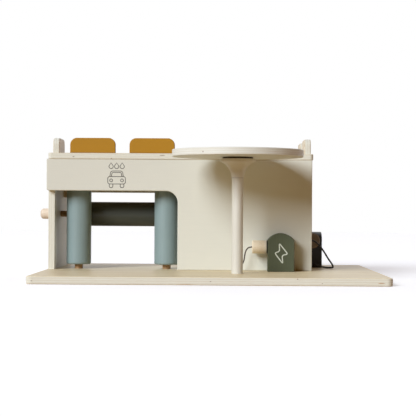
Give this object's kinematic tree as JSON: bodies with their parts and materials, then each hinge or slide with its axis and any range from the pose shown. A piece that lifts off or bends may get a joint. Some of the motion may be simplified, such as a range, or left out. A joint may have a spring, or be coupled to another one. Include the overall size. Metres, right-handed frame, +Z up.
{
  "type": "toy parking garage",
  "caption": "Wooden toy garage on a base plate, with a roller car wash, parking deck, lift, turning helicopter pad on a column, charging post and fuel pump.",
  "frame": {"origin": "centre of the base plate's underside, on the surface it stands on", "axes": "+Z up, -Y towards the front apron with the helicopter pad, +X to the right seen from the front"},
  "size_m": [0.4993, 0.452, 0.2025],
  "materials": {
    "cream_paint": "matt water-based paint on plywood",
    "plywood": "clear-sealed birch plywood",
    "beech": "clear-sealed turned beech",
    "mustard_paint": "matt paint on plywood",
    "green_paint": "matt paint on solid wood",
    "black_paint": "matt paint on solid wood",
    "roller_paint": "matt paint on turned wood",
    "steel": "zinc-plated",
    "dark_felt": "pressed felt",
    "black_cord": "braided textile cord"
  },
  "bodies": {
    "root": {"base_plate": "plywood", "roof_deck": "plywood", "left_guard": "plywood", "right_front_guard": "plywood", "right_rear_guard": "plywood", "deck_cleats": "plywood", "front_panel": "cream_paint", "rear_panel": "cream_paint", "rear_lift_panel": "cream_paint", "left_wall": "cream_paint", "middle_wall": "cream_paint", "right_wall": "cream_paint", "helipad_capital": "cream_paint", "helipad_column": "cream_paint", "bay_barrier_left": "mustard_paint", "bay_barrier_right": "mustard_paint", "charging_post": "green_paint", "fuel_pump": "black_paint", "deck_dowels": "beech", "kerb_dowels": "beech", "helipad_pivot": "beech", "base_screws": "steel", "cleat_screws": "steel", "charger_magnet": "steel", "charger_socket": "steel", "pump_magnet": "steel", "pump_socket": "steel", "helipad_washer": "dark_felt", "charging_cord": "black_cord", "fuel_hose": "black_cord"},
    "wash_roller_left": {"wash_roller_left": "roller_paint", "roller_spindle_left": "beech"},
    "wash_roller_right": {"wash_roller_right": "roller_paint", "roller_spindle_right": "beech"},
    "wash_roller_top": {"top_roller": "roller_paint", "roller_axle": "beech", "roller_knob": "beech"},
    "helipad": {"helipad_disc": "cream_paint"},
    "lift": {"lift_platform": "plywood", "lift_back_plate": "mustard_paint", "lift_slider": "beech", "lift_handle": "mustard_paint", "lift_knob": "beech", "lift_screws": "steel"},
    "charging_plug": {"charging_plug": "beech", "plug_collar": "beech", "plug_magnet": "steel"},
    "fuel_nozzle": {"fuel_nozzle": "beech", "nozzle_magnet": "steel"}
  },
  "joints": [
    {"name": "left_roller_spin", "type": "hinge", "parent": "root", "child": "wash_roller_left", "pos_m": [-0.1964, 0.027, 0.091], "axis": [0, 0, 1], "continuous": true},
    {"name": "right_roller_spin", "type": "hinge", "parent": "root", "child": "wash_roller_right", "pos_m": [-0.066, 0.027, 0.091], "axis": [0, 0, 1], "continuous": true},
    {"name": "top_roller_spin", "type": "hinge", "parent": "root", "child": "wash_roller_top", "pos_m": [-0.1315, 0.07, 0.0913], "axis": [1, 0, 0], "continuous": true},
    {"name": "helipad_spin", "type": "hinge", "parent": "root", "child": "helipad", "pos_m": [0.0375, -0.1057, 0.1768], "axis": [0, 0, 1], "continuous": true},
    {"name": "lift_slide", "type": "slide", "parent": "root", "child": "lift", "axis": [0, 0, 1], "range_m": [0, 0.1607]},
    {"name": "plug_pull", "type": "slide", "parent": "root", "child": "charging_plug", "axis": [-1, 0, 0], "range_m": [0, 0.022], "deforming": ["charging_cord"]},
    {"name": "nozzle_pull", "type": "slide", "parent": "root", "child": "fuel_nozzle", "axis": [0, -1, 0], "range_m": [0, 0.02], "deforming": ["fuel_hose"]}
  ]
}
